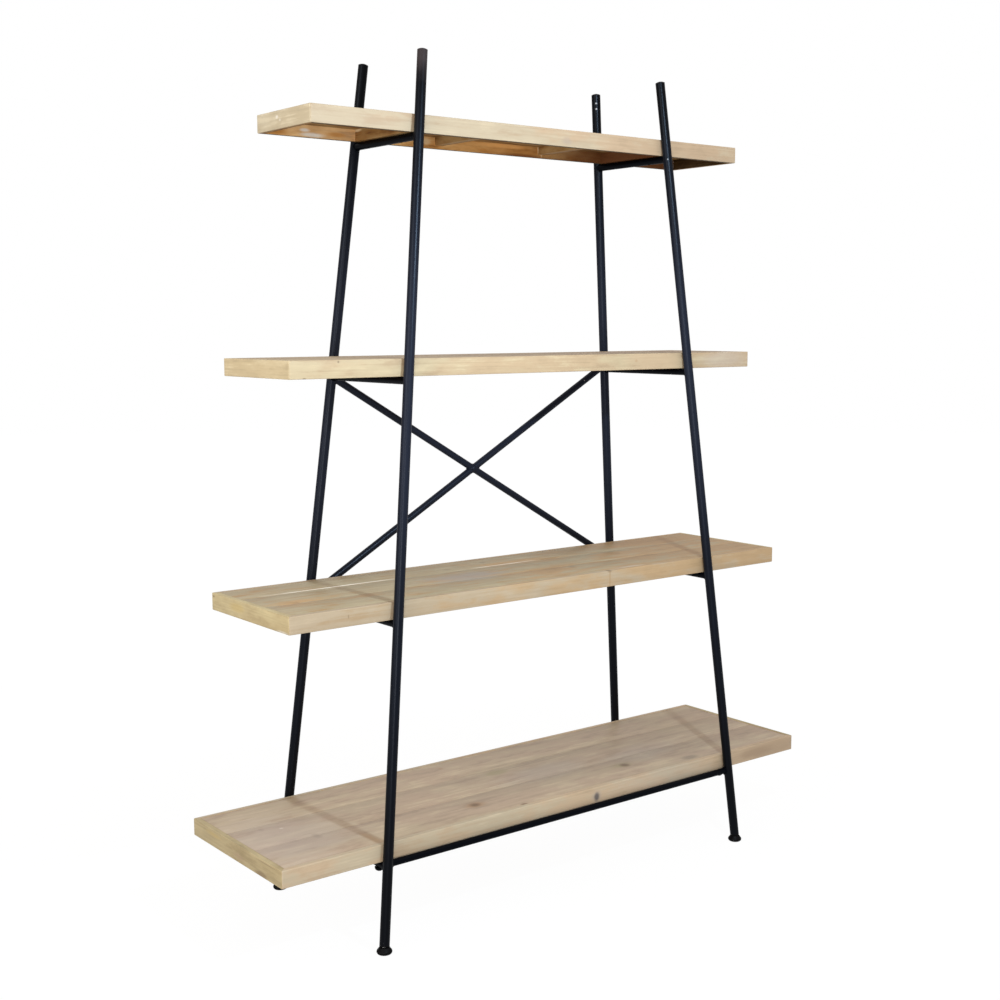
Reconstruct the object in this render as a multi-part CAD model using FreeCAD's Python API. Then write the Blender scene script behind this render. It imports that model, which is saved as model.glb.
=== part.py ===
import FreeCAD, Part
import math
import os

from FreeCAD import Vector

# A four-shelf unit: hollow wooden tray shelves carried in a splayed frame of round steel tube.
# Millimetres, +Z up, the front faces -Y. The origin is on the floor, midway between the feet.

# Stance of the four legs
unit_height = 1800.0
leg_spread_x_floor = 1024.0  # between leg axes at the floor, side to side
leg_spread_x_top = 655.0  # between leg axes at the top, side to side
leg_spread_y_floor = 425.0  # between leg axes at the floor, front to back
leg_spread_y_top = 218.0  # between leg axes at the top, front to back

# Tube stock
leg_dia = 21.0
leg_wall = 1.5
rail_dia = 16.0
rail_wall = 1.2
rod_dia = 16.0  # cross brace
bar_dia = 14.5  # front bar
rod_wall = 1.2  # of both
cope_gap = 0.1  # room for the weld where a tube end is shaped to another tube
front_bar_drop = 2.7  # its axis below the underside of the lowest shelf
front_bar_inset = 3.25  # its axis behind the axes of the front legs
long_rod_lift_low = 3.5  # its ends above the axes of the rails that it meets
long_rod_lift_high = 10.0

# Domed plug in the top of each leg
cap_rise = 3.0
cap_plug_length = 15.0
plug_fit = 0.05

# Shelves, numbered from the top
shelf_count = 4
lowest_underside = 181.0  # above the floor
legs_above_shelves = 128.0  # from the top face of the top shelf to the tops of the legs
shelf_height = 36.0
shelf_overhang = 243.0  # past the leg axes at each end
shelf_leg_gap = 0.5
second_shelf_offset = -23.0  # the second shelf sits a little left of the middle
lowest_shelf_offset = 7.0  # and the lowest a little right
seat_gap = 0.05  # between a shelf and the rails below it

# Tray construction of a shelf
wall_thickness = 12.0
edge_ease = 1.0  # chamfer on the outer arrises of the walls
board_thickness = 12.0
board_count = 3
board_gap = 0.5
rail_rib_width = 30.0
mid_rib_width = 20.0
mid_rib_spread = 290.0
mid_rib_raise = 7.0  # from the underside of the walls

# Screws up through the rails into the ribs above them
screw_dia = 4.0
screw_bite = 14.0  # length in the rib
screw_hole_fit = 0.2  # radial, in the rail
screw_pilot_fit = 0.05  # radial, in the rib
screw_head_dia = 7.0  # inside the rail, against its upper wall
screw_head_height = 2.6
access_fit = 0.5  # radial, round a head in the hole below it
screw_point = 3.0
screw_inset = 45.0  # from the front or rear face of the shelf
clamp_head_dia = 19.0  # the lowest shelf has wide domed heads under its rails, close to the legs
clamp_head_height = 8.0
clamp_inset = 18.0

# Levelling feet
pad_dia = 32.0
pad_rim = 10.0
pad_floor = 4.7  # left under the ball
ball_dia = 12.0
ball_fit = 0.05
hub_above_ball = 3.2
hub_gap = 0.6  # between the pad's hub and the leg end when screwed home
stud_dia = 8.0
thread_fit = 0.05
insert_length = 25.0
insert_flange = 2.5
foot_travel = 10.0

leg_radius = leg_dia / 2
rail_radius = rail_dia / 2
rod_radius = rod_dia / 2
bore_radius = leg_radius - leg_wall
ball_radius = ball_dia / 2
stud_radius = stud_dia / 2

UP = Vector(0, 0, 1)
LEFT, RIGHT = -1, 1
FRONT, REAR = -1, 1
CORNERS = {
    "front_left": (LEFT, FRONT),
    "front_right": (RIGHT, FRONT),
    "rear_left": (LEFT, REAR),
    "rear_right": (RIGHT, REAR),
}
SIDE_NAMES = {LEFT: "left", RIGHT: "right"}

# The shelves are spaced evenly between the lowest and the top one
highest_underside = unit_height - legs_above_shelves - shelf_height
shelf_pitch = (highest_underside - lowest_underside) / (shelf_count - 1)

# How far a leg's axis leans per millimetre of height
lean_x = (leg_spread_x_floor - leg_spread_x_top) / 2 / unit_height
lean_y = (leg_spread_y_floor - leg_spread_y_top) / 2 / unit_height
lean_angle = math.atan(math.hypot(lean_x, lean_y))

# Heights and stations of a foot, along the leg axis from the ball's centre
ball_height = pad_floor + ball_radius + ball_fit
hub_height = ball_height + hub_above_ball
flange_station = (hub_above_ball + hub_gap + leg_radius * math.sin(lean_angle)) / math.cos(lean_angle)
tube_station = flange_station + insert_flange


def leg_at(corner, height):
    """Point on a leg's axis at a height above the floor."""
    side, face = corner
    x = side * (leg_spread_x_floor / 2 - lean_x * height)
    y = face * (leg_spread_y_floor / 2 - lean_y * height)
    return Vector(x, y, height)


def leg_direction(corner):
    """Unit vector up along a leg."""
    return (leg_at(corner, unit_height) - leg_at(corner, 0)).normalize()


def placed(shape, point, direction=UP):
    """A shape drawn along +Z at the origin, moved to a point and turned to a direction."""
    shape.Placement = FreeCAD.Placement(point, FreeCAD.Rotation(UP, direction))
    return shape


def bar(start, end, radius):
    """Solid round bar between two points."""
    run = end - start
    return Part.makeCylinder(radius, run.Length, start, run)


def tube(start, end, dia, wall):
    """Round tube between two points."""
    return bar(start, end, dia / 2).cut(bar(start, end, dia / 2 - wall))


def turned(edges):
    """Solid of revolution about Z from the edges of a closed profile in the XZ plane."""
    face = Part.Face(Part.Wire(edges))
    return face.revolve(Vector(0, 0, 0), UP, 360)


def outline(points):
    """Straight edges through profile points given as radius and height."""
    corners = [Vector(radius, 0, height) for radius, height in points]
    return [Part.makeLine(a, b) for a, b in zip(corners, corners[1:])]


def curve(start, middle, end):
    """Arc of a profile through three points given as radius and height."""
    points = [Vector(radius, 0, height) for radius, height in (start, middle, end)]
    return Part.Arc(*points).toShape()


def block(low, high):
    """Box between two corners."""
    size = high - low
    return Part.makeBox(size.x, size.y, size.z, low)


def underside(shelf):
    """Height of a shelf's lower face."""
    return lowest_underside + (shelf_count - shelf) * shelf_pitch


def rail_height(shelf):
    """Height of the axis of the two rails below a shelf."""
    return underside(shelf) - seat_gap - rail_radius


def rail_station(shelf, side):
    """Place along X of the rail below one end of a shelf."""
    return leg_at((side, FRONT), rail_height(shelf)).x


def shelf_middle(shelf):
    """Place along X of a shelf's middle."""
    return {2: second_shelf_offset, shelf_count: lowest_shelf_offset}.get(shelf, 0.0)


def shelf_half_length(shelf):
    middle_height = underside(shelf) + shelf_height / 2
    return leg_at((RIGHT, REAR), middle_height).x + shelf_overhang


def shelf_half_depth(shelf):
    """Half the depth that fits between the legs at the shelf's top face, where they are closest."""
    leg_reach = leg_radius * math.hypot(1, lean_y)
    return leg_at((RIGHT, REAR), underside(shelf) + shelf_height).y - leg_reach - shelf_leg_gap


def screw_stations(shelf):
    """Places along Y of the two screws in each rail below a shelf."""
    inset = clamp_inset if shelf == shelf_count else screw_inset
    reach = shelf_half_depth(shelf) - inset
    return (-reach, reach)


def screw_seat(shelf):
    """Height of the seats of a shelf's screw heads above the axis of the rails."""
    if shelf == shelf_count:
        return -rail_radius
    return math.sqrt((rail_radius - rail_wall) ** 2 - (screw_head_dia / 2) ** 2) - seat_gap


def leg_tops():
    """Radius of a cap's dome and the distance from its centre to the tube's end."""
    dome = (leg_radius ** 2 + cap_rise ** 2) / (2 * cap_rise)
    return dome, dome - cap_rise


def tube_end_high(corner):
    dome, centre_to_end = leg_tops()
    return leg_at(corner, unit_height - dome) + leg_direction(corner) * centre_to_end


def tube_end_low(corner):
    return leg_at(corner, ball_height) + leg_direction(corner) * tube_station


def leg(corner):
    """Straight leg tube, cut square at both ends."""
    return tube(tube_end_low(corner), tube_end_high(corner), leg_dia, leg_wall)


def leg_cap(corner):
    """Plug with a low dome that closes the top of a leg."""
    dome, centre_to_end = leg_tops()
    half_angle = math.asin(leg_radius / dome) / 2
    crest = (dome * math.sin(half_angle), dome * math.cos(half_angle) - centre_to_end)
    plug_radius = bore_radius - plug_fit
    profile = outline([
        (0, cap_rise),
        (0, -cap_plug_length),
        (plug_radius, -cap_plug_length),
        (plug_radius, 0),
        (leg_radius, 0),
    ])
    profile.append(curve((leg_radius, 0), crest, (0, cap_rise)))
    return placed(turned(profile), tube_end_high(corner), leg_direction(corner))


def leg_insert(corner):
    """Flanged threaded plug in the lower end of a leg."""
    hole_radius = stud_radius + thread_fit
    plug_radius = bore_radius - plug_fit
    profile = outline([
        (hole_radius, 0),
        (leg_radius, 0),
        (leg_radius, insert_flange),
        (plug_radius, insert_flange),
        (plug_radius, insert_flange + insert_length),
        (hole_radius, insert_flange + insert_length),
        (hole_radius, 0),
    ])
    up = leg_direction(corner)
    return placed(turned(profile), leg_at(corner, ball_height) + up * flange_station, up)


def foot_pad(corner):
    """Round pad that lies flat on the floor, with a socket for the ball of its stud."""
    rim_radius = pad_rim / 2
    flat_radius = pad_dia / 2 - rim_radius
    slant = rim_radius * math.sin(math.pi / 4)
    shoulder = (flat_radius + slant, rim_radius + slant)
    profile = outline([(0, hub_height), (0, 0), (flat_radius, 0)])
    profile.append(curve((flat_radius, 0), (flat_radius + rim_radius, rim_radius), shoulder))
    profile += outline([shoulder, (leg_radius, hub_height), (0, hub_height)])
    pad = turned(profile).cut(Part.makeSphere(ball_radius + ball_fit, Vector(0, 0, ball_height)))
    centre = leg_at(corner, ball_height)
    return placed(pad, Vector(centre.x, centre.y, 0))


def foot_stud(corner):
    """Threaded stud with a ball end, long enough to fill the insert at full travel."""
    length = tube_station + insert_length + foot_travel
    stud = Part.makeSphere(ball_radius).fuse(Part.makeCylinder(stud_radius, length))
    return placed(stud.removeSplitter(), leg_at(corner, ball_height), leg_direction(corner))


def coped(piece, corners):
    """A tube whose ends are shaped to the legs that it meets."""
    for corner in corners:
        low, high = leg_at(corner, 0), leg_at(corner, unit_height)
        piece = piece.cut(bar(low, high, leg_radius + cope_gap))
    return piece


def rail_run(shelf, side):
    """The two points on the leg axes between which a rail runs."""
    height = rail_height(shelf)
    return leg_at((side, FRONT), height), leg_at((side, REAR), height)


def clear_of_rails(piece, rails):
    """A tube end relieved where a rail is welded to the same leg."""
    for shelf, side in rails:
        start, end = rail_run(shelf, side)
        piece = piece.cut(bar(start, end, rail_radius + cope_gap))
    return piece


def side_rail(shelf, side):
    """Rail from the front leg to the rear leg, drilled for the shelf's screws."""
    start, end = rail_run(shelf, side)
    rail = coped(tube(start, end, rail_dia, rail_wall), [(side, FRONT), (side, REAR)])
    hole_radius = screw_dia / 2 + screw_hole_fit
    for y in screw_stations(shelf):
        foot = Vector(rail_station(shelf, side), y, rail_height(shelf) - rail_dia)
        rail = rail.cut(Part.makeCylinder(hole_radius, 2 * rail_dia, foot))
        if shelf < shelf_count:
            rail = rail.cut(Part.makeCylinder(screw_head_dia / 2 + access_fit, rail_dia, foot))
    return rail


def front_bar():
    """Bar between the two front legs, in front of the lowest shelf's lower edge."""
    ends = [CORNERS["front_left"], CORNERS["front_right"]]
    inset = Vector(0, front_bar_inset, 0)
    start, end = [leg_at(corner, lowest_underside - front_bar_drop) + inset for corner in ends]
    front = coped(tube(start, end, bar_dia, rod_wall), ends)
    return clear_of_rails(front, [(shelf_count, LEFT), (shelf_count, RIGHT)])


def meeting_point(long_start, long_end, short_start, short_end):
    """The point of the long rod's axis that the other diagonal's axis passes closest to."""
    long_way, short_way = long_end - long_start, short_end - short_start
    across = long_way.cross(short_way)
    share = (short_start - long_start).cross(short_way).dot(across) / across.dot(across)
    return long_start + long_way * share


def cross_brace():
    """One long rod and two short ones that meet it in the middle, between the rear legs."""
    left, right = CORNERS["rear_left"], CORNERS["rear_right"]
    upper, lower = rail_height(2), rail_height(3)
    long_start = leg_at(left, lower + long_rod_lift_low)
    long_end = leg_at(right, upper + long_rod_lift_high)
    short_start, short_end = leg_at(left, upper), leg_at(right, lower)
    crossing = meeting_point(long_start, long_end, short_start, short_end)
    spine = bar(long_start, long_end, rod_radius + cope_gap)
    long_rod = coped(tube(long_start, long_end, rod_dia, rod_wall), [left, right])
    upper_rod = coped(tube(short_start, crossing, rod_dia, rod_wall), [left]).cut(spine)
    lower_rod = coped(tube(crossing, short_end, rod_dia, rod_wall), [right]).cut(spine)
    return {
        "brace_long_rod": clear_of_rails(long_rod, [(3, LEFT), (2, RIGHT)]),
        "brace_upper_rod": clear_of_rails(upper_rod, [(2, LEFT)]),
        "brace_lower_rod": clear_of_rails(lower_rod, [(3, RIGHT)]),
    }


def is_at(edge, middle):
    """Whether an edge has its middle at a point."""
    return edge.CenterOfMass.isEqual(middle, 1e-6)


def mitred_wall(shelf, corners):
    """Wall of a shelf, extruded from its mitred plan, with its two outer arrises eased.

    The first two corners of the plan are the ends of the outer face.
    """
    points = [Vector(shelf_middle(shelf) + x, y, underside(shelf)) for x, y in corners]
    plan = Part.Face(Part.makePolygon(points + points[:1]))
    wall = plan.extrude(UP * shelf_height)
    outer_low = (points[0] + points[1]) * 0.5
    outer_high = outer_low + UP * shelf_height
    arrises = [edge for edge in wall.Edges if is_at(edge, outer_low) or is_at(edge, outer_high)]
    return wall.makeChamfer(edge_ease, arrises)


def shelf_walls(shelf):
    """Front, rear and two end walls, mitred at the corners."""
    long_out, deep_out = shelf_half_length(shelf), shelf_half_depth(shelf)
    long_in, deep_in = long_out - wall_thickness, deep_out - wall_thickness
    walls = {}
    for name, face in (("front_wall", FRONT), ("rear_wall", REAR)):
        out, inner = face * deep_out, face * deep_in
        plan = [(-long_out, out), (long_out, out), (long_in, inner), (-long_in, inner)]
        walls[name] = mitred_wall(shelf, plan)
    for name, side in (("left_end", LEFT), ("right_end", RIGHT)):
        out, inner = side * long_out, side * long_in
        plan = [(out, -deep_out), (out, deep_out), (inner, deep_in), (inner, -deep_in)]
        walls[name] = mitred_wall(shelf, plan)
    return walls


def shelf_boards(shelf):
    """Boards laid side by side inside the walls, flush with the shelf's top."""
    reach = shelf_half_length(shelf) - wall_thickness - board_gap
    half_depth = shelf_half_depth(shelf) - wall_thickness
    width = (2 * half_depth - (board_count + 1) * board_gap) / board_count
    top = underside(shelf) + shelf_height
    middle = shelf_middle(shelf)
    boards = []
    for place in range(board_count):
        front = -half_depth + board_gap + place * (width + board_gap)
        low = Vector(middle - reach, front, top - board_thickness)
        boards.append(block(low, Vector(middle + reach, front + width, top)))
    return Part.makeCompound(boards)


def shelf_ribs(shelf):
    """Ribs across the tray: one over each rail, drilled for its screws, and two in the middle span."""
    reach = shelf_half_depth(shelf) - wall_thickness
    low, high = underside(shelf), underside(shelf) + shelf_height - board_thickness
    ribs = []
    for side in (LEFT, RIGHT):
        x = rail_station(shelf, side)
        half = rail_rib_width / 2
        rib = block(Vector(x - half, -reach, low), Vector(x + half, reach, high))
        for y in screw_stations(shelf):
            pilot = Part.makeCylinder(screw_dia / 2 + screw_pilot_fit, screw_bite, Vector(x, y, low))
            rib = rib.cut(pilot)
        ribs.append(rib)
    for side in (LEFT, RIGHT):
        x = shelf_middle(shelf) + side * mid_rib_spread / 2
        half = mid_rib_width / 2
        corner = Vector(x - half, -reach, low + mid_rib_raise)
        ribs.append(block(corner, Vector(x + half, reach, high)))
    return Part.makeCompound(ribs)


def screw(head_dia, head_height, seat):
    """Screw with a domed head, drawn pointing up with the head's seat at the origin."""
    radius, head_radius = screw_dia / 2, head_dia / 2
    tip = rail_radius - seat + seat_gap + screw_bite
    dome = (head_radius ** 2 + head_height ** 2) / (2 * head_height)
    half = math.asin(head_radius / dome) / 2
    middle = (dome * math.sin(half), dome - head_height - dome * math.cos(half))
    shank = outline([
        (0, -head_height),
        (0, tip),
        (radius, tip - screw_point),
        (radius, 0),
        (head_radius, 0),
    ])
    return turned(shank + [curve((head_radius, 0), middle, (0, -head_height))])


def shelf_screws():
    """All the screws that hold the shelves to the rails."""
    screws = []
    for shelf in range(1, shelf_count + 1):
        head = (screw_head_dia, screw_head_height)
        if shelf == shelf_count:
            head = (clamp_head_dia, clamp_head_height)
        for side in (LEFT, RIGHT):
            for y in screw_stations(shelf):
                seat = Vector(rail_station(shelf, side), y, rail_height(shelf) + screw_seat(shelf))
                screws.append(placed(screw(*head, screw_seat(shelf)), seat))
    return Part.makeCompound(screws)


def build():
    """Every node of the unit by name."""
    nodes = {}
    for name, corner in CORNERS.items():
        nodes["leg_" + name] = leg(corner)
        nodes["leg_cap_" + name] = leg_cap(corner)
        nodes["leg_insert_" + name] = leg_insert(corner)
        nodes["foot_pad_" + name] = foot_pad(corner)
        nodes["foot_stud_" + name] = foot_stud(corner)
    for shelf in range(1, shelf_count + 1):
        title = "shelf_%d_" % shelf
        for side, side_name in SIDE_NAMES.items():
            nodes["rail_%d_%s" % (shelf, side_name)] = side_rail(shelf, side)
        for wall_name, wall in shelf_walls(shelf).items():
            nodes[title + wall_name] = wall
        nodes[title + "boards"] = shelf_boards(shelf)
        nodes[title + "ribs"] = shelf_ribs(shelf)
    nodes["front_bar"] = front_bar()
    nodes.update(cross_brace())
    nodes["shelf_screws"] = shelf_screws()
    return nodes


def report(nodes):
    """Print what a maker would check: stance, shelf sizes and the solids in each node."""
    print("lean of the legs %.2f degrees" % math.degrees(lean_angle))
    for shelf in range(1, shelf_count + 1):
        sizes = (2 * shelf_half_length(shelf), 2 * shelf_half_depth(shelf), underside(shelf))
        print("shelf %d: %.1f long, %.1f deep, underside at %.1f" % ((shelf,) + sizes))
    for name, shape in nodes.items():
        state = "valid" if shape.isValid() else "NOT VALID"
        print("%-28s %2d solids %12.1f mm3 %s" % (name, len(shape.Solids), shape.Volume, state))


os.makedirs("parts", exist_ok=True)
model = build()
for node_name, node_shape in model.items():
    node_shape.exportStep(os.path.join("parts", node_name + ".step"))
report(model)
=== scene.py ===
# %% [markdown]
# # A pipe shelving unit
#
# Four wooden tray shelves stand in a splayed frame of black round tube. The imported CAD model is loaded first
# and stays as it is. Each piece below is either one of its nodes with a better finish, or a more detailed
# piece that takes a node's place.

# %% Load the frame
import math

import bmesh
import bpy
from mathutils import Matrix, Vector
from mathutils.geometry import intersect_line_line


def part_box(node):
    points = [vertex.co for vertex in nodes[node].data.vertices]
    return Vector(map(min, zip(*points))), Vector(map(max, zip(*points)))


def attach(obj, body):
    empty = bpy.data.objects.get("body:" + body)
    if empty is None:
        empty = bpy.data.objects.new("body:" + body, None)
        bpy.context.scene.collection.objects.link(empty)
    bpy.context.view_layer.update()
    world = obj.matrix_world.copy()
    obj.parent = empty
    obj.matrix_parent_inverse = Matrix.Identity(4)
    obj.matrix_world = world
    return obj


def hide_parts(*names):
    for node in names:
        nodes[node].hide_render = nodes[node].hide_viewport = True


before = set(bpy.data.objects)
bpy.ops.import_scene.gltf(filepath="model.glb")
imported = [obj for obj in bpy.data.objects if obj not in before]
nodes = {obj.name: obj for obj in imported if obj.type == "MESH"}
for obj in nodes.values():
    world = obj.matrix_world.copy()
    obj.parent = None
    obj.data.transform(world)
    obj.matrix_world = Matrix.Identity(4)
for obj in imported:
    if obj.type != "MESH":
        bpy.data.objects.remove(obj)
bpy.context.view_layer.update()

# %% [markdown]
# ## Hands before pieces
#
# Blender's operators act on whatever is selected, just as they do for a person at the screen, and loading the
# frame leaves every node selected. So the first tools put everything down, pick up one piece, and select its
# faces or edges by where they are. With these, a script can model the way a hand does.

# %% Pick up and put down
def put_down():
    """Leave edit mode, and nothing selected."""
    if bpy.context.mode != "OBJECT":
        bpy.ops.object.mode_set(mode="OBJECT")
    bpy.ops.object.select_all(action="DESELECT")


def pick_up(piece):
    """Select one piece alone."""
    put_down()
    piece.select_set(True)
    bpy.context.view_layer.objects.active = piece


def settle(piece):
    """Put a piece's place, turn and size into its mesh."""
    pick_up(piece)
    bpy.ops.object.transform_apply(location=True, rotation=True, scale=True)
    return piece


def copy_of(piece, name):
    """A copy of a piece with a mesh of its own."""
    pick_up(piece)
    bpy.ops.object.duplicate(linked=False)
    bpy.context.object.name = name
    return bpy.context.object


# %% Select by place
def select(piece, kind, test):
    """In edit mode, select the VERTs, EDGEs or FACEs that pass a test."""
    pick_up(piece)
    bpy.ops.object.mode_set(mode="EDIT")
    bpy.ops.mesh.select_mode(type=kind)
    bpy.ops.mesh.select_all(action="DESELECT")
    shape = bmesh.from_edit_mesh(piece.data)
    for part in {"VERT": shape.verts, "EDGE": shape.edges, "FACE": shape.faces}[kind]:
        part.select_set(test(part))
    shape.select_flush_mode()
    bmesh.update_edit_mesh(piece.data)


def leave():
    bpy.ops.object.mode_set(mode="OBJECT")


def apply_modifiers(piece):
    """Apply a piece's modifiers in their order."""
    pick_up(piece)
    for change in list(piece.modifiers):
        bpy.ops.object.modifier_apply(modifier=change.name)
    return piece


# %% Start, join and hand over a piece
crease = math.radians(35)  # faces that meet at less than this are shaded as one


def start_block(name, low, high):
    """A cube primitive between two corners."""
    put_down()
    low, high = Vector(low), Vector(high)
    bpy.ops.mesh.primitive_cube_add(size=1, location=(low + high) / 2, scale=high - low)
    bpy.context.object.name = name
    return settle(bpy.context.object)


def start_rod(name, start, end, radius, sides=48):
    """A cylinder primitive between two points."""
    put_down()
    start, end = Vector(start), Vector(end)
    turn = (end - start).to_track_quat("Z", "Y").to_euler()
    bpy.ops.mesh.primitive_cylinder_add(
        vertices=sides, radius=radius, depth=(end - start).length, location=(start + end) / 2, rotation=turn)
    bpy.context.object.name = name
    return settle(bpy.context.object)


def join_as(name, pieces):
    """Join pieces into one."""
    pick_up(pieces[0])
    for piece in pieces:
        piece.select_set(True)
    bpy.ops.object.join()
    bpy.context.object.name = name
    return bpy.context.object


def hand_over(piece, body, slot, *stands_for):
    """Attach a piece to its body and hide the nodes that it takes the place of. Its slot is not used."""
    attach(piece, body)
    if stands_for:
        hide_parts(*stands_for)
    print("%-22s %6d faces on %s" % (piece.name, len(piece.data.polygons), body))


# %% [markdown]
# ## Shelf walls
#
# A shelf looks like one thick plank, but it is a tray: four thin walls, mitred at the corners, with boards
# inside. Each wall could be drawn on its own, but then the soft corner would have to be shaped twice. Here the
# whole plank is shaped once, with its corners rounded and its edges eased by sandpaper, and each wall is what
# remains of it after three cuts: the two mitres and the inner face.

# %% Where the shelves are
SHELVES = (1, 2, 3, 4)
wall_thickness = 0.012


def shelf_box(shelf):
    """Lowest and highest corner of a shelf, from its front and rear walls."""
    low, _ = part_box("shelf_%d_front_wall" % shelf)
    _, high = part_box("shelf_%d_rear_wall" % shelf)
    return low, high


for shelf in SHELVES:
    low, high = shelf_box(shelf)
    print("shelf %d: %.1f x %.1f mm, top at %.1f mm" % (shelf, *((high - low).xy * 1000), high.z * 1000))


# %% Ease a plank and cut walls from it
corner_round = 0.0035
arris_round = 0.0016
mitre_line = 0.00008  # half the joint that shows between two walls


def eased_plank(low, high):
    """The outside of a whole shelf, with round corners and eased edges."""
    plank = start_block("plank", low, high)
    select(plank, "EDGE", lambda e: abs(e.verts[0].co.z - e.verts[1].co.z) > 0.01)
    bpy.ops.mesh.bevel(offset=corner_round, segments=5, affect="EDGES")
    leave()
    for height in (low.z, high.z):
        select(plank, "EDGE", lambda e: all(abs(v.co.z - height) < 1e-5 for v in e.verts))
        bpy.ops.mesh.bevel(offset=arris_round, segments=4, affect="EDGES")
        leave()
    return plank


def cut_away(piece, point, toward):
    """Cut a piece with a plane and remove the side that the plane faces."""
    select(piece, "FACE", lambda face: True)
    bpy.ops.mesh.bisect(plane_co=point, plane_no=toward, use_fill=True, clear_outer=True)
    leave()


# %% Make the sixteen walls
walls = {}


def cut_wall(plank, name, corner_a, corner_b, inward):
    """One wall of a shelf: what is left of the plank after two mitre cuts and the inner cut."""
    wall = copy_of(plank, name)
    along = (corner_b - corner_a).normalized()
    cut_away(wall, corner_a + along * mitre_line, inward - along)
    cut_away(wall, corner_b - along * mitre_line, inward + along)
    cut_away(wall, corner_a + inward * wall_thickness, inward)
    pick_up(wall)
    bpy.ops.object.shade_smooth_by_angle(angle=crease)
    return wall


for shelf in SHELVES:
    low, high = shelf_box(shelf)
    plank = eased_plank(low, high)
    rings = [Vector((x, y, low.z)) for x, y in
             ((low.x, low.y), (high.x, low.y), (high.x, high.y), (low.x, high.y))]
    sides = (("front_wall", 0, 1, (0, 1, 0)), ("right_end", 1, 2, (-1, 0, 0)),
             ("rear_wall", 2, 3, (0, -1, 0)), ("left_end", 3, 0, (1, 0, 0)))
    for side, a, b, inward in sides:
        title = "shelf_%d_%s" % (shelf, side)
        walls[title] = cut_wall(plank, "plank_" + title, rings[a], rings[b], Vector(inward))
        walls[title]["inward"] = inward
        hand_over(walls[title], "frame", "shelf_wood", title)
    bpy.data.objects.remove(plank)

# %% [markdown]
# ## Boards
#
# Three boards fill each tray, flush with the walls, with a hair's gap between them. A board's edges are never
# quite sharp, and the gap is what shows as a seam, so each board is a block with its edges eased. One object
# holds a shelf's three boards, because one CAD node does.

# %% Lay the boards
board_count = 3
board_gap = 0.0005
board_ease = 0.0007
boards = {}

for shelf in SHELVES:
    low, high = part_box("shelf_%d_boards" % shelf)
    width = (high.y - low.y - (board_count - 1) * board_gap) / board_count
    laid = []
    for place in range(board_count):
        front = low.y + place * (width + board_gap)
        board = start_block("board", (low.x, front, low.z), (high.x, front + width, high.z))
        select(board, "EDGE", lambda e: True)
        bpy.ops.mesh.bevel(offset=board_ease, segments=2, affect="EDGES")
        leave()
        laid.append(board)
    boards[shelf] = join_as("planed_boards_%d" % shelf, laid)
    bpy.ops.object.shade_smooth_by_angle(angle=crease)
    hand_over(boards[shelf], "frame", "shelf_wood", "shelf_%d_boards" % shelf)

# %% [markdown]
# ## Weld beads
#
# Every rail, rod and bar is welded to its legs, and the weld fills the corner between two tubes with a soft,
# slightly uneven bead. The saddle curve of that corner is hard to draw but easy to cut: a collar round the one
# tube, kept only where it lies within about two millimetres of the other. A voxel remesh and some smoothing
# then melt its corners together, and a little displacement makes it hand made.

# %% The legs as lines
leg_radius, rail_radius, rod_radius, bar_radius = 0.0105, 0.008, 0.008, 0.00725
unit_height = 1.8
floor_stance = Vector((0.512, 0.2125, 0.0))
top_stance = Vector((0.3275, 0.109, unit_height))
CORNERS = {"front_left": (-1, -1), "front_right": (1, -1), "rear_left": (-1, 1), "rear_right": (1, 1)}


def leg_point(corner, height):
    """The point on a leg's axis at a height."""
    side, face = CORNERS[corner]
    spot = floor_stance.lerp(top_stance, height / top_stance.z)
    return Vector((side * spot.x, face * spot.y, height))


def leg_way(corner):
    return (leg_point(corner, unit_height) - leg_point(corner, 0)).normalized()


def rail_level(shelf):
    """Height of the axis of the rails below a shelf."""
    low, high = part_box("rail_%d_left" % shelf)
    return (low.z + high.z) / 2


# %% Carve and melt a bead
def carve(piece, tool, operation):
    """Combine a piece with a tool by a Boolean modifier and put the tool away."""
    change = piece.modifiers.new("carve", "BOOLEAN")
    change.operation, change.object, change.solver = operation, tool, "EXACT"
    apply_modifiers(piece)
    bpy.data.objects.remove(tool)


collar_length, collar_rise = 0.035, 0.0018  # along the tube, and above its surface
post_rise, sunk = 0.0021, 0.0005  # how far the bead climbs the post, and sinks into both tubes
post_reach, core_back, core_length = 0.04, 0.02, 0.08  # cutting tools, longer than any bead
bead_voxel, ripple_depth = 0.0006, 0.0005
ripple = bpy.data.textures.new("weld_ripple", "CLOUDS")
ripple.noise_scale = 0.004


def weld_bead(name, joint, post_way, post_radius, tube_way, tube_radius, aside=Vector()):
    """The bead in the corner between a post and a tube that ends on it, on its axis or a little aside."""
    reach = post_way * post_reach
    mouth = joint + aside
    bead = start_rod(name, mouth, mouth + tube_way * collar_length, tube_radius + collar_rise)
    carve(bead, start_rod("near", joint - reach, joint + reach, post_radius + post_rise), "INTERSECT")
    carve(bead, start_rod("post", joint - reach, joint + reach, post_radius - sunk), "DIFFERENCE")
    start = mouth - tube_way * core_back
    carve(bead, start_rod("core", start, start + tube_way * core_length, tube_radius - sunk), "DIFFERENCE")
    melt = bead.modifiers.new("melt", "REMESH")
    melt.mode, melt.voxel_size = "VOXEL", bead_voxel
    soften = bead.modifiers.new("soften", "SMOOTH")
    soften.factor, soften.iterations = 0.5, 5
    uneven = bead.modifiers.new("uneven", "DISPLACE")
    uneven.texture, uneven.strength, uneven.mid_level = ripple, ripple_depth, 0.6
    uneven.texture_coords = "LOCAL"
    apply_modifiers(bead)
    bpy.ops.object.shade_smooth()
    return bead


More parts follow.
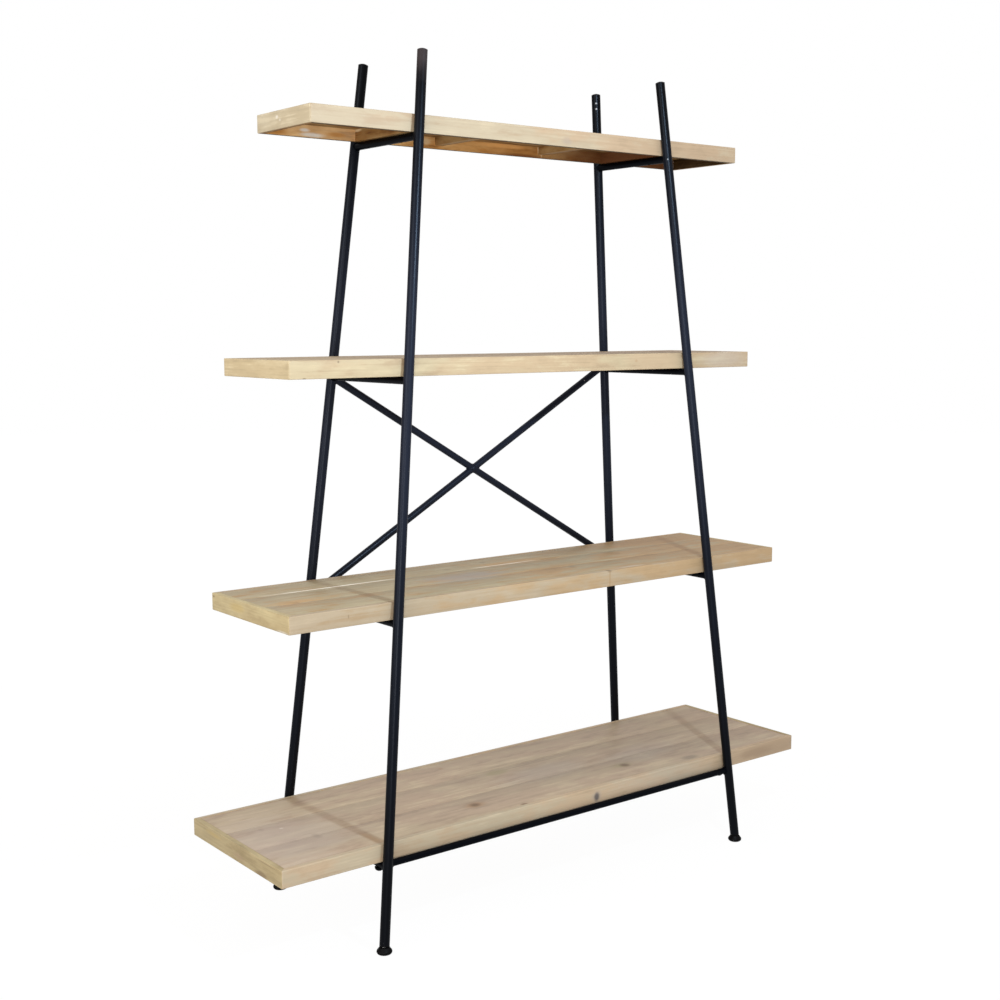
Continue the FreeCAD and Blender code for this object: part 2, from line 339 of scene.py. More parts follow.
# %% Copy a bead to its like joints
def moved(piece, name, offset=(0, 0, 0), turn_over=(1, 1, 1)):
    """A copy of a piece, shifted and then mirrored about the middle of the unit."""
    copy = copy_of(piece, name)
    copy.location = offset
    settle(copy)
    copy.scale = turn_over
    settle(copy)
    select(copy, "FACE", lambda face: True)
    bpy.ops.mesh.normals_make_consistent(inside=False)
    leave()
    return copy


# %% Weld the rails
home = leg_point("front_left", rail_level(1))
bead = weld_bead("rail_bead", home, leg_way("front_left"), leg_radius, Vector((0, 1, 0)), rail_radius)
beads = []
for shelf in SHELVES:
    step = leg_point("front_left", rail_level(shelf)) - home
    for side, face in CORNERS.values():
        beads.append(moved(bead, "rail_bead", step, (-side, -face, 1)))
bpy.data.objects.remove(bead)
rail_welds = join_as("rail_welds", beads)
hand_over(rail_welds, "frame", "painted_steel")

# %% Weld the crossed rods and the front bar
upper, lower = rail_level(2), rail_level(3)
lift_low, lift_high = 0.0035, 0.0100  # the long rod's ends, above the rails' axes
long_ends = leg_point("rear_left", lower + lift_low), leg_point("rear_right", upper + lift_high)
short_ends = leg_point("rear_left", upper), leg_point("rear_right", lower)
long_way = (long_ends[1] - long_ends[0]).normalized()
short_way = (short_ends[1] - short_ends[0]).normalized()
crossing, _ = intersect_line_line(*long_ends, *short_ends)

rod_beads = []
for ends, way in ((long_ends, long_way), (short_ends, short_way)):
    for corner, joint, inward in (("rear_left", ends[0], way), ("rear_right", ends[1], -way)):
        rod_beads.append(weld_bead("rod_bead", joint, leg_way(corner), leg_radius, inward, rod_radius))
for way in (short_way, -short_way):
    rod_beads.append(weld_bead("rod_bead", crossing, long_way, rod_radius, way, rod_radius))
brace_welds = join_as("brace_welds", rod_beads)
hand_over(brace_welds, "frame", "painted_steel")

bar_low, bar_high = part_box("front_bar")
bar_level = (bar_low.z + bar_high.z) / 2
bar_joint = leg_point("front_left", bar_level)
bar_aside = Vector((0, (bar_low.y + bar_high.y) / 2 - bar_joint.y, 0))
bar_bead = weld_bead(
    "bar_bead", bar_joint, leg_way("front_left"), leg_radius, Vector((1, 0, 0)), bar_radius, bar_aside)
other_side = (-1, 1, 1)
bar_welds = join_as("bar_welds", [bar_bead, moved(bar_bead, "bar_bead", turn_over=other_side)])
hand_over(bar_welds, "frame", "painted_steel")

# %% [markdown]
# ## Shelf screws
#
# Sixteen black screws go up through the rails into the ribs. Most of their heads sit inside the rails, above a
# hole for the driver. The lowest shelf has wide heads under its rails, close to the legs. A screw is modelled
# from a disc: its lower rim is rounded to a dome, its shank and point are drawn out of the other face, and the
# cross for the driver is cut by two thin wedges.

# %% Model a screw
shank_radius, point_length, point_taper = 0.00185, 0.003, 0.15
cross_arm, cross_half, cross_depth = 0.0018, 0.00045, 0.0013
cross_taper, below_head = (0.6, 0.8, 1), 0.001
dome = 0.96  # share of a head's height that its round takes


def model_screw(head_radius, head_height, reach):
    """A dome-headed screw pointing up, its head's seat at the origin."""
    screw = start_rod("screw", (0, 0, -head_height), (0, 0, 0), head_radius, 32)
    select(screw, "EDGE", lambda e: all(v.co.z < -head_height * 0.95 for v in e.verts))
    bpy.ops.mesh.bevel(offset=head_height * dome, segments=7, affect="EDGES")
    leave()
    select(screw, "FACE", lambda face: face.normal.z > 0.9)
    bpy.ops.mesh.inset(thickness=head_radius - shank_radius)
    bpy.ops.mesh.extrude_region_move(TRANSFORM_OT_translate={"value": (0, 0, reach - point_length)})
    bpy.ops.mesh.extrude_region_move(TRANSFORM_OT_translate={"value": (0, 0, point_length)})
    bpy.ops.transform.resize(value=(point_taper, point_taper, 1))
    leave()
    for turn in (0, math.pi / 2):
        wedge = start_block(
            "wedge", (-cross_arm, -cross_half, -head_height - below_head),
            (cross_arm, cross_half, cross_depth - head_height))
        select(wedge, "FACE", lambda face: face.normal.z > 0.9)
        bpy.ops.transform.resize(value=cross_taper)
        leave()
        wedge.rotation_euler.z = turn
        carve(screw, settle(wedge), "DIFFERENCE")
    pick_up(screw)
    bpy.ops.object.shade_smooth_by_angle(angle=crease)
    return screw


# %% Drive them in
inner_seat, under_seat = 0.00578, -rail_radius  # from the rail's axis
inner_inset, under_inset = 0.045, 0.018  # from the shelf's front and rear
next_turn = 1.9  # radians; no two crosses point the same way
small_screw = model_screw(head_radius=0.0035, head_height=0.0026, reach=0.0160)
wide_screw = model_screw(head_radius=0.0095, head_height=0.0080, reach=0.0300)
screws = []
for shelf in SHELVES:
    low, high = shelf_box(shelf)
    screw, inset, seat = small_screw, inner_inset, inner_seat
    if shelf == SHELVES[-1]:
        screw, inset, seat = wide_screw, under_inset, under_seat
    for side in ("left", "right"):
        rail_low, rail_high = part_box("rail_%d_%s" % (shelf, side))
        middle = (rail_low.x + rail_high.x) / 2
        for y in (low.y + inset, high.y - inset):
            driven = copy_of(screw, "screw")
            driven.rotation_euler.z = len(screws) * next_turn
            driven.location = (middle, y, rail_level(shelf) + seat)
            screws.append(settle(driven))
for screw in (small_screw, wide_screw):
    bpy.data.objects.remove(screw)
driven_screws = join_as("driven_screws", screws)
hand_over(driven_screws, "frame", "painted_steel", "shelf_screws")

# %% [markdown]
# ## Threaded studs
#
# Under each leg a stud with a ball end turns in the leg's insert and tilts in its pad. When a foot is screwed
# out, ten millimetres of thread show, so the thread is real. It starts as a small tapered face beside the stud,
# which a Screw modifier winds up the stud's axis.

# %% Model one stud
ball_radius, ball_level = 0.006, 0.01075
stud_length, stud_ease = 0.0425, 0.0006
thread_pitch, crest, root = 0.00125, 0.00395, 0.0033
thread_start, thread_end = 0.0006, 0.0025  # from the ball's top, and short of the stud's end
ridge_sunk, ridge_half = 0.0003, 0.0001
ridge_share, crest_share = 0.9, 0.15  # of the pitch at the root, and of that at the crest


def model_stud():
    """A stud along +Z with its ball's centre at the origin."""
    put_down()
    bpy.ops.mesh.primitive_uv_sphere_add(segments=32, ring_count=20, radius=ball_radius)
    stud = bpy.context.object
    neck = math.sqrt(ball_radius ** 2 - root ** 2)
    cut_away(stud, (0, 0, neck), (0, 0, 1))
    select(stud, "FACE", lambda face: face.normal.z > 0.99 and len(face.verts) > 8)
    bpy.ops.mesh.extrude_region_move(TRANSFORM_OT_translate={"value": (0, 0, stud_length - neck)})
    bpy.ops.mesh.bevel(offset=stud_ease, segments=2, affect="EDGES")
    leave()
    return stud


def model_thread():
    """A ridge wound along +Z above the ball."""
    turns = int((stud_length - ball_radius - thread_end) / thread_pitch)
    low, high = (root - ridge_sunk, -ridge_half, 0), (crest, ridge_half, thread_pitch * ridge_share)
    ridge = start_block("ridge", low, high)
    select(ridge, "FACE", lambda face: face.normal.y > -0.9)
    bpy.ops.mesh.delete(type="ONLY_FACE")
    select(ridge, "VERT", lambda v: v.co.y > 0)
    bpy.ops.mesh.delete(type="VERT")
    leave()
    select(ridge, "EDGE", lambda e: all(v.co.x > crest - 1e-6 for v in e.verts))
    bpy.ops.transform.resize(value=(1, 1, crest_share))
    leave()
    ridge.location.z = ball_radius + thread_start
    settle(ridge)
    wind = ridge.modifiers.new("wind", "SCREW")
    wind.axis, wind.steps, wind.render_steps = "Z", 20, 20
    wind.screw_offset, wind.iterations = thread_pitch, turns
    wind.use_merge_vertices = False
    return apply_modifiers(ridge)


# %% Set the four studs in their legs
stud, thread = model_stud(), model_thread()
select(thread, "FACE", lambda face: True)
bpy.ops.mesh.normals_make_consistent(inside=False)
leave()
stud = join_as("stud", [stud, thread])
bpy.ops.object.shade_smooth_by_angle(angle=math.radians(30))
for corner in CORNERS:
    fitted = copy_of(stud, "threaded_stud_" + corner)
    fitted.location = leg_point(corner, ball_level)
    fitted.rotation_euler = leg_way(corner).to_track_quat("Z", "Y").to_euler()
    hand_over(settle(fitted), "foot_" + corner, "zinc_steel", "foot_stud_" + corner)
bpy.data.objects.remove(stud)

# %% [markdown]
# ## Shader maths
#
# A finish is a network of nodes, but a formula is easier to read than a network. This class wraps one socket,
# so that adding or multiplying two of them adds the Math node that does it. Every other node comes from its one
# method, which makes a node's settings first and then fills or links its sockets.

# %% Sockets as values
class Shade:
    """A value in a material's node tree."""

    def __init__(self, tree, socket=None):
        self.tree, self.socket = tree, socket

    def add(self, kind, settings, sockets, out=0):
        """Add a node and return one of its outputs."""
        node = self.tree.nodes.new("ShaderNode" + kind)
        for name, value in settings.items():
            setattr(node, name, value)
        for name, value in sockets.items():
            if isinstance(value, Shade):
                self.tree.links.new(value.socket, node.inputs[name])
            else:
                node.inputs[name].default_value = value
        return Shade(self.tree, node.outputs[out])

    def math(self, operation, *values):
        return self.add("Math", {"operation": operation}, dict(enumerate(values)))

    def __add__(self, other):
        return self.math("ADD", self, other)

    def __sub__(self, other):
        return self.math("SUBTRACT", self, other)

    def __mul__(self, other):
        return self.math("MULTIPLY", self, other)

    def __truediv__(self, other):
        return self.math("DIVIDE", self, other)

    __radd__ = __add__


# %% Everyday nodes
def scaled(place, by):
    """A vector times a vector."""
    return place.add("VectorMath", {"operation": "MULTIPLY"}, {0: place, 1: by})


def shifted(place, by):
    """A vector plus a vector."""
    return place.add("VectorMath", {"operation": "ADD"}, {0: place, 1: by})


def axis(place, name):
    return place.add("SeparateXYZ", {}, {0: place}, name)


def noise(place, detail=2.0, roughness=0.5):
    """Soft noise from 0 to 1, one blot per unit of the place."""
    sockets = {"Vector": place, "Scale": 1.0, "Detail": detail, "Roughness": roughness}
    return place.add("TexNoise", {}, sockets)


def ease(value, low, high):
    """0 below low, 1 above high, smooth between; the other way round where high is less than low."""
    return value.add("MapRange", {"interpolation_type": "SMOOTHSTEP"},
                     {"Value": value, "From Min": low, "From Max": high})


def mix(mask, first, second):
    """The second colour over the first by a mask."""
    return mask.add("Mix", {"data_type": "RGBA"}, {0: mask, 6: first, 7: second}, 2)


def new_finish(name):
    """A material, a starting value in its tree, and its shader's sockets."""
    finish = bpy.data.materials.new(name)
    finish.use_nodes = True
    tree = finish.node_tree
    start = Shade(tree)
    return finish, start.add("TexCoord", {}, {}, "Object"), tree.nodes["Principled BSDF"].inputs


def feed(sockets, **values):
    """Link values to a shader's sockets, or set them."""
    for name, value in values.items():
        socket = sockets[name.replace("_", " ")]
        if isinstance(value, Shade):
            value.tree.links.new(value.socket, socket)
        else:
            socket.default_value = value


# %% [markdown]
# ## Wood
#
# The shelves are softwood under a thin limewash that has worn unevenly: straw in one place, rose in another,
# pale where the wash still lies, brown where it is gone. A picture of wood would repeat and could not go round
# a corner, so the tones come from noise in space. Broad drifts choose between straw and rose, hand-sized
# patches and long streaks add wash and wear, and the fibres are noise stretched thirty times along the grain.
# Knots, stains and smears are spots with uneven edges, and so are a painted shadow of a leg on the lowest
# boards and a broad patch of painted light on the lowest front. Each has a centre, radii, a strength and a
# tone. On the sides that the photograph shows, the main ones lie where they do there.

# %% Spots and rings
def spot(place, wobble, centre, radii):
    """1 in the middle of a spot with uneven edges, 0 outside it."""
    arm = scaled(shifted(place, [-v for v in centre]), [1 / r for r in radii])
    far = arm.add("VectorMath", {"operation": "LENGTH"}, {0: arm}, 1)
    return ease(far + (wobble - 0.5) * 1.3, 1.15, 0.3)


def ring_shade(place, sway, heart, spacing):
    """Late wood of the growth rings round a heart line, from 0 to 1."""
    arm = scaled(shifted(place, [-v for v in heart]), (0.035, 1.0, 1.0))
    radius = arm.add("VectorMath", {"operation": "LENGTH"}, {0: arm}, 1)
    count = (radius + sway * 0.016) / spacing
    turn = count.math("FRACT", count)
    return ease(turn, 0.35, 0.9) * ease(turn, 1.0, 0.92)


def times(tone, by):
    """A tone made lighter or darker."""
    return [min(1.0, v * by) for v in tone[:3]] + [1]


# %% Grain
FINE, COARSE = 230.0, 75.0  # streaks per metre across the grain
ring_spacing, seam_width = 0.0052, 0.0011


def along_grain(place, way, seed):
    """The place with its X along the grain, and that place moved to another part of the noise."""
    if way == "Y":
        place = place.add("Mapping", {}, {"Vector": place, "Rotation": (0, 0, -math.pi / 2)})
    return place, shifted(place, (seed * 3.1, seed * 0.37, seed * 0.73))


def streaks(grain, fine=FINE):
    return noise(scaled(grain, (4.5, fine, fine)), 3.0, 0.65)


def fibres(grain):
    return noise(scaled(grain, (40.0, 1200.0, 1200.0)), 3.0, 0.6)


# %% The limewashed finish
def wood_finish(name, seed, straw, rose, heart, way="X", lean=0.0, strips=None, spots=(), fine=FINE, worn=1.0,
                gloss=0.0):
    """Limewashed softwood with its grain along X or Y. It leans from straw to rose along the grain."""
    finish, place, shader = new_finish(name)
    place, grain = along_grain(place, way, seed)
    if strips:
        first, width = strips
        lane = (axis(place, "Y") - first) / width
        number = lane.math("FLOOR", lane)
        chance = number.add("TexWhiteNoise", {"noise_dimensions": "1D"}, {"W": number + seed * 7.3})
        grain = shifted(grain, chance.add("CombineXYZ", {}, {0: chance * 5.0, 1: chance * 0.31, 2: 0.0}))
    broad = noise(scaled(place, (2.4, 9.0, 9.0)), 3.0, 0.55)
    patch = noise(scaled(grain, (12.0, 36.0, 36.0)), 4.0, 0.6)
    streak, fibre = streaks(grain, fine), fibres(grain)
    late = ring_shade(place, broad - 0.5, heart, ring_spacing)
    hue = broad + (patch - 0.5) * 0.6 + axis(place, "X") * lean
    colour = mix(ease(hue, 0.39, 0.61), straw, rose)
    colour = mix(ease(patch + (streak - 0.5) * 0.5, 0.50, 0.74) * 0.46 * worn, colour, times(rose, 0.78))
    colour = mix(ease(streak, 0.50, 0.72) * 0.21 * worn, colour, times(rose, 0.76))
    colour = mix(late * 0.12, colour, times(rose, 0.70))
    colour = mix(ease(patch + (streak - 0.5) * 0.7, 0.47, 0.28) * 0.45 * worn, colour, times(straw, 1.16))
    colour = mix(ease(fibre, 0.52, 0.80) * 0.22, colour, times(rose, 0.72))
    height = fibre * 0.6 + streak * 0.5
    if strips:
        colour = mix(chance * 0.16, colour, times(rose, 0.86))
        off = lane - number - 0.5
        line = ease(off.math("ABSOLUTE", off), 0.5 - seam_width / width, 0.5) * ease(patch, 0.42, 0.62)
        colour = mix(line * 0.4, colour, times(rose, 0.62))
        height = height - line
    for centre, radii, strength, tone in spots:
        colour = mix(spot(place, patch, centre, radii) * strength, colour, tone)
    bump = height.add("Bump", {}, {"Strength": 0.35, "Distance": 0.0004, "Height": height})
    feed(shader, Base_Color=colour, Roughness=0.54 - gloss + (fibre - 0.5) * 0.25, Normal=bump,
         Specular_IOR_Level=0.35 + gloss)
    return finish


# %% Tones of the marks
GREY, UMBER, SIENNA = (0.115, 0.090, 0.075, 1), (0.17, 0.105, 0.060, 1), (0.36, 0.20, 0.085, 1)
LILAC, CHALK, OLIVE = (0.34, 0.30, 0.285, 1), (0.74, 0.69, 0.60, 1), (0.36, 0.30, 0.17, 1)
HAZE, STRAW, RUST = (0.43, 0.365, 0.325, 1), (0.92, 0.74, 0.46, 1), (0.60, 0.28, 0.07, 1)
WHITE, SLATE = (0.93, 0.88, 0.79, 1), (0.085, 0.078, 0.078, 1)
CHESTNUT, AMBER = (0.20, 0.068, 0.020, 1), (0.95, 0.50, 0.17, 1)
PEACH = (0.585, 0.400, 0.255, 1)
MAUVE, TAN, OCHRE = (0.57, 0.49, 0.42, 1), (0.37, 0.26, 0.17, 1), (0.52, 0.38, 0.14, 1)

# %% Tones of each shelf, straw and rose
WALL_TONES = {
    1: ((0.525, 0.42, 0.287, 1), (0.55, 0.39, 0.250, 1)),
    2: ((0.555, 0.445, 0.280, 1), (0.545, 0.395, 0.243, 1)),
    3: ((0.46, 0.365, 0.250, 1), (0.515, 0.350, 0.193, 1)),
    4: ((0.485, 0.405, 0.285, 1), (0.555, 0.413, 0.272, 1)),
}
WALL_WEAR = {1: 1.2, 2: 1.6, 3: 1.3, 4: 1.5}
# The lower shelves' ends are darker, partly their own tone and partly painted shade for light that falls off
# lower down.
END_TONES = {
    1: ((0.645, 0.565, 0.405, 1), (0.58, 0.49, 0.330, 1)),
    2: ((0.69, 0.58, 0.375, 1), (0.625, 0.505, 0.305, 1)),
    3: ((0.56, 0.465, 0.262, 1), (0.50, 0.395, 0.215, 1)),
    4: ((0.455, 0.370, 0.208, 1), (0.385, 0.298, 0.160, 1)),
}
TOP_TONES = {
    1: ((0.49, 0.39, 0.26, 1), (0.46, 0.35, 0.26, 1)),
    2: ((0.49, 0.39, 0.26, 1), (0.46, 0.35, 0.26, 1)),
    3: ((0.405, 0.345, 0.222, 1), (0.50, 0.322, 0.158, 1)),
    4: ((0.472, 0.378, 0.258, 1), (0.475, 0.355, 0.252, 1)),
}
TOP_LEAN = {1: 0.1, 2: 0.1, 3: 0.3, 4: 0.05}
TOP_GLOSS = {1: -0.12, 2: -0.10, 3: 0.07, 4: 0.08}

# %% Marks on the front walls
WALL_SPOTS = {
    1: [((0.055, -0.105, 1.648), (0.016, 0.02, 0.010), 0.30, LILAC)],
    2: [((-0.549, -0.133, 1.183), (0.003, 0.02, 0.003), 0.7, UMBER),
        ((0.240, -0.133, 1.171), (0.005, 0.02, 0.004), 0.5, SIENNA),
        ((-0.625, -0.133, 1.151), (0.005, 0.02, 0.003), 0.8, UMBER),
        ((0.530, -0.133, 1.172), (0.090, 0.02, 0.030), 0.45, MAUVE),
        ((0.300, -0.133, 1.170), (0.110, 0.02, 0.040), 0.50, PEACH)],
    3: [((-0.552, -0.161, 0.686), (0.002, 0.02, 0.006), 0.5, UMBER),
        ((0.139, -0.161, 0.684), (0.0014, 0.02, 0.030), 0.8, SIENNA),
        ((0.139, -0.161, 0.702), (0.007, 0.02, 0.004), 0.5, UMBER)],
    4: [((0.0785, -0.189, 0.196), (0.017, 0.02, 0.018), 0.40, LILAC),
        ((0.0785, -0.189, 0.195), (0.0095, 0.02, 0.0130), 0.85, SLATE),
        ((0.600, -0.189, 0.200), (0.080, 0.02, 0.016), 0.65, TAN),
        ((0.660, -0.189, 0.200), (0.140, 0.02, 0.030), 0.55, TAN),
        # painted light: a broad pale patch that brightens the middle of the lowest front wall above the bar
        ((0.290, -0.189, 0.200), (0.210, 0.02, 0.040), 0.18, MAUVE)],
}

# %% Marks on the left ends, in the grain's own directions
END_SPOTS = {
    1: [((0.0225, 0.585, 1.6596), (0.006, 0.02, 0.004), 0.6, WHITE),
        ((0.0107, 0.585, 1.6525), (0.004, 0.02, 0.003), 0.5, WHITE)],
    2: [],
    3: [((0.151, 0.685, 0.6955), (0.004, 0.02, 0.003), 0.8, UMBER),
        ((0.048, 0.685, 0.6875), (0.035, 0.02, 0.010), 0.5, OCHRE),
        ((-0.137, 0.685, 0.6677), (0.030, 0.02, 0.004), 0.6, CHALK)],
    4: [((-0.0165, 0.728, 0.194), (0.030, 0.02, 0.008), 0.5, TAN),
        ((-0.108, 0.728, 0.186), (0.030, 0.02, 0.008), 0.6, UMBER),
        ((0.0935, 0.728, 0.208), (0.040, 0.02, 0.006), 0.4, OCHRE),
        ((-0.130, 0.728, 0.2130), (0.055, 0.02, 0.0016), 0.5, UMBER)],
}

# %% Marks on the boards
TOP_SPOTS = {
    1: [((-0.21, 0.03, 1.672), (0.012, 0.008, 0.02), 0.4, UMBER),
        ((0.33, -0.05, 1.672), (0.012, 0.008, 0.02), 0.4, UMBER)],
    2: [((0.12, 0.06, 1.187), (0.012, 0.008, 0.02), 0.4, UMBER),
        ((-0.38, -0.04, 1.187), (0.010, 0.007, 0.02), 0.4, UMBER)],
    3: [((-0.155, -0.020, 0.702), (0.130, 0.050, 0.02), 0.55, LILAC),
        ((0.500, 0.110, 0.702), (0.190, 0.080, 0.02), 0.40, SIENNA),
        ((0.240, 0.105, 0.702), (0.120, 0.035, 0.02), 0.35, SIENNA),
        ((0.210, -0.145, 0.702), (0.060, 0.016, 0.02), 0.40, CHALK),
        ((-0.600, -0.043, 0.702), (0.008, 0.006, 0.02), 0.35, UMBER),
        ((-0.020, 0.108, 0.702), (0.010, 0.006, 0.02), 0.45, UMBER),
        ((-0.139, 0.080, 0.702), (0.012, 0.008, 0.02), 0.35, UMBER),
        ((0.062, 0.007, 0.702), (0.012, 0.010, 0.02), 0.40, SIENNA),
        ((0.108, -0.068, 0.702), (0.010, 0.012, 0.02), 0.40, UMBER),
        ((0.320, 0.010, 0.702), (0.010, 0.008, 0.02), 0.40, UMBER),
        ((-0.465, 0.0577, 0.702), (0.175, 0.0040, 0.02), 1.0, WHITE),
        ((0.010, 0.0577, 0.702), (0.125, 0.0040, 0.02), 0.9, WHITE)],
    4: [((-0.2085, -0.113, 0.217), (0.036, 0.024, 0.02), 0.62, SIENNA),
        ((-0.2085, -0.113, 0.217), (0.018, 0.016, 0.02), 0.85, UMBER),
        ((0.237, -0.104, 0.217), (0.038, 0.020, 0.02), 0.62, OLIVE),
        ((0.240, -0.107, 0.217), (0.017, 0.016, 0.02), 0.85, UMBER),
        ((-0.120, -0.178, 0.217), (0.013, 0.012, 0.02), 0.85, UMBER),
        ((0.404, -0.159, 0.217), (0.032, 0.016, 0.02), 0.45, GREY),
        ((-0.032, 0.037, 0.217), (0.036, 0.024, 0.02), 0.75, OLIVE),
        ((-0.576, -0.064, 0.217), (0.010, 0.018, 0.02), 0.35, UMBER),
        ((-0.649, 0.037, 0.217), (0.008, 0.010, 0.02), 0.30, UMBER),
        ((-0.611, 0.020, 0.217), (0.006, 0.005, 0.02), 0.80, CHALK),
        ((-0.120, 0.141, 0.217), (0.010, 0.010, 0.02), 0.35, SIENNA),
        ((0.060, -0.030, 0.217), (0.160, 0.060, 0.02), 0.30, LILAC),
        ((0.330, -0.060, 0.217), (0.150, 0.060, 0.02), 0.30, LILAC),
        ((-0.640, -0.040, 0.217), (0.170, 0.180, 0.02), 0.45, HAZE),
        # a painted shadow: the front left leg's shadow, a warm dark strip on the board behind its foot
        ((-0.4945, -0.135, 0.217), (0.011, 0.050, 0.02), 0.35, SIENNA),
        ((0.600, 0.090, 0.217), (0.150, 0.090, 0.02), 0.25, TAN)],
}

# %% [markdown]
# ## Raw wood
#
# Nobody limes the inside of a tray. Its wood is the same timber, but warm and reddish, with stains, glue and
# dust. One finish makes it in several shades: orange on the inner sides of the walls, brown on the ribs and
# under the boards as painted shade, brown on the sawn edges of the ends, and very dark on the sawn edges of the
# long walls. The top tray shows its inside most. Its rear wall is a lighter copy, painted light, with marks of
# its own; it darkens to the right in painted shade, as the ribs do, and its right end is painted dark for the
# shade that it lies in.

# %% The raw finish
HONEY, COPPER, BISCUIT = (0.74, 0.47, 0.20), (0.50, 0.25, 0.075), (0.72, 0.48, 0.24)
COCOA, COGNAC, SHADE_BROWN = (0.20, 0.075, 0.022), (0.34, 0.15, 0.045), (0.115, 0.034, 0.011, 1)


def raw_finish(name, way, seed, shade=1.0, spots=(), darken=None):
    """Bare softwood, as inside the trays. It can darken to the right between two places, as painted shade."""
    finish, place, shader = new_finish(name)
    place, grain = along_grain(place, way, seed)
    stain = noise(scaled(grain, (9.0, 30.0, 30.0)), 4.0, 0.6)
    streak, fibre = streaks(grain), fibres(grain)
    colour = mix(ease(stain, 0.36, 0.60), times(HONEY, shade), times(COPPER, shade))
    colour = mix(ease(stain + (streak - 0.5) * 0.4, 0.54, 0.70) * 0.75, colour, times(COCOA, shade))
    colour = mix(ease(streak, 0.50, 0.70) * 0.35, colour, times(COGNAC, shade))
    colour = mix(ease(fibre, 0.5, 0.85) * 0.3, colour, times(BISCUIT, shade))
    # painted shade: the wood darkens towards the right end of the tray
    if darken:
        right = axis(place, "X") if way == "X" else axis(place, "Y") * -1.0
        colour = mix(ease(right, *darken) * 0.9, colour, SHADE_BROWN)
    for centre, radii, strength, tone in spots:
        colour = mix(spot(place, (stain + streak) * 0.5, centre, radii) * strength, colour, tone)
    bump = fibre.add("Bump", {}, {"Strength": 0.4, "Distance": 0.0005, "Height": fibre})
    feed(shader, Base_Color=colour, Roughness=0.6 + (fibre - 0.5) * 0.3, Normal=bump, Specular_IOR_Level=0.12)
    return finish


# %% Marks inside the top tray
RIB_SPOTS = [
    ((0.0925, -0.135, 1.660), (0.0030, 0.02, 0.022), 0.9, STRAW),
    ((0.085, 0.360, 1.659), (0.020, 0.02, 0.006), 0.8, STRAW),
]
REAR_SPOTS = [
    ((-0.420, 0.093, 1.655), (0.140, 0.03, 0.040), 0.34, STRAW),
    ((-0.551, 0.093, 1.645), (0.030, 0.02, 0.012), 0.9, RUST),
    ((-0.405, 0.093, 1.646), (0.030, 0.02, 0.006), 0.8, RUST),
    ((-0.463, 0.093, 1.6415), (0.032, 0.02, 0.0055), 1.0, WHITE),
    ((-0.4815, 0.093, 1.650), (0.014, 0.02, 0.0045), 1.0, WHITE),
    ((0.020, 0.093, 1.655), (0.170, 0.03, 0.040), 0.5, RUST),
    ((-0.180, 0.093, 1.650), (0.016, 0.02, 0.010), 0.6, STRAW),
    ((-0.160, 0.093, 1.6645), (0.011, 0.02, 0.0070), 0.8, CHESTNUT),
    ((-0.100, 0.093, 1.670), (0.080, 0.02, 0.0100), 0.75, CHESTNUT),
    ((0.040, 0.093, 1.655), (0.080, 0.02, 0.0060), 0.7, AMBER),
    ((0.085, 0.093, 1.637), (0.080, 0.02, 0.0060), 0.75, CHESTNUT),
    ((0.1462, 0.093, 1.656), (0.0030, 0.02, 0.020), 0.9, STRAW),
]

# %% Shades of raw wood
raw_along = raw_finish("raw_wood_along", "X", 1.0)
raw_across = raw_finish("raw_wood_across", "Y", 2.0)
# painted shade: the boards' undersides are a darker copy of the raw wood
shaded_raw_under = raw_finish("raw_wood_under_shaded", "X", 3.0, 0.55)
sawn_edge = raw_finish("sawn_edge", "X", 4.0, 0.16)
sawn_end = raw_finish("sawn_end", "Y", 4.0, 0.60)
raw_shaded = raw_finish("raw_wood_shaded", "Y", 2.0, 0.12)
# painted shade: the ribs are a darker copy, darker still towards the right
shaded_rib_wood = raw_finish("raw_wood_rib_shaded", "Y", 2.0, 0.60, RIB_SPOTS, (0.18, 0.34))
# the top tray's rear wall: its stains on a lighter copy, painted light, that darkens to the right in painted
# shade
stained_lit_and_shaded = raw_finish("raw_wood_stained_lit_and_shaded", "X", 1.0, 1.3, REAR_SPOTS, (-0.10, 0.36))


# %% Finish the shelves
strip_width = 0.072  # about that of the strips that the boards seem to be glued from


def finish_faces(piece, choose, *finishes):
    """Give a piece several finishes, one chosen for each face."""
    piece.data.materials.clear()
    for finish in finishes:
        piece.data.materials.append(finish)
    for face in piece.data.polygons:
        face.material_index = choose(face)


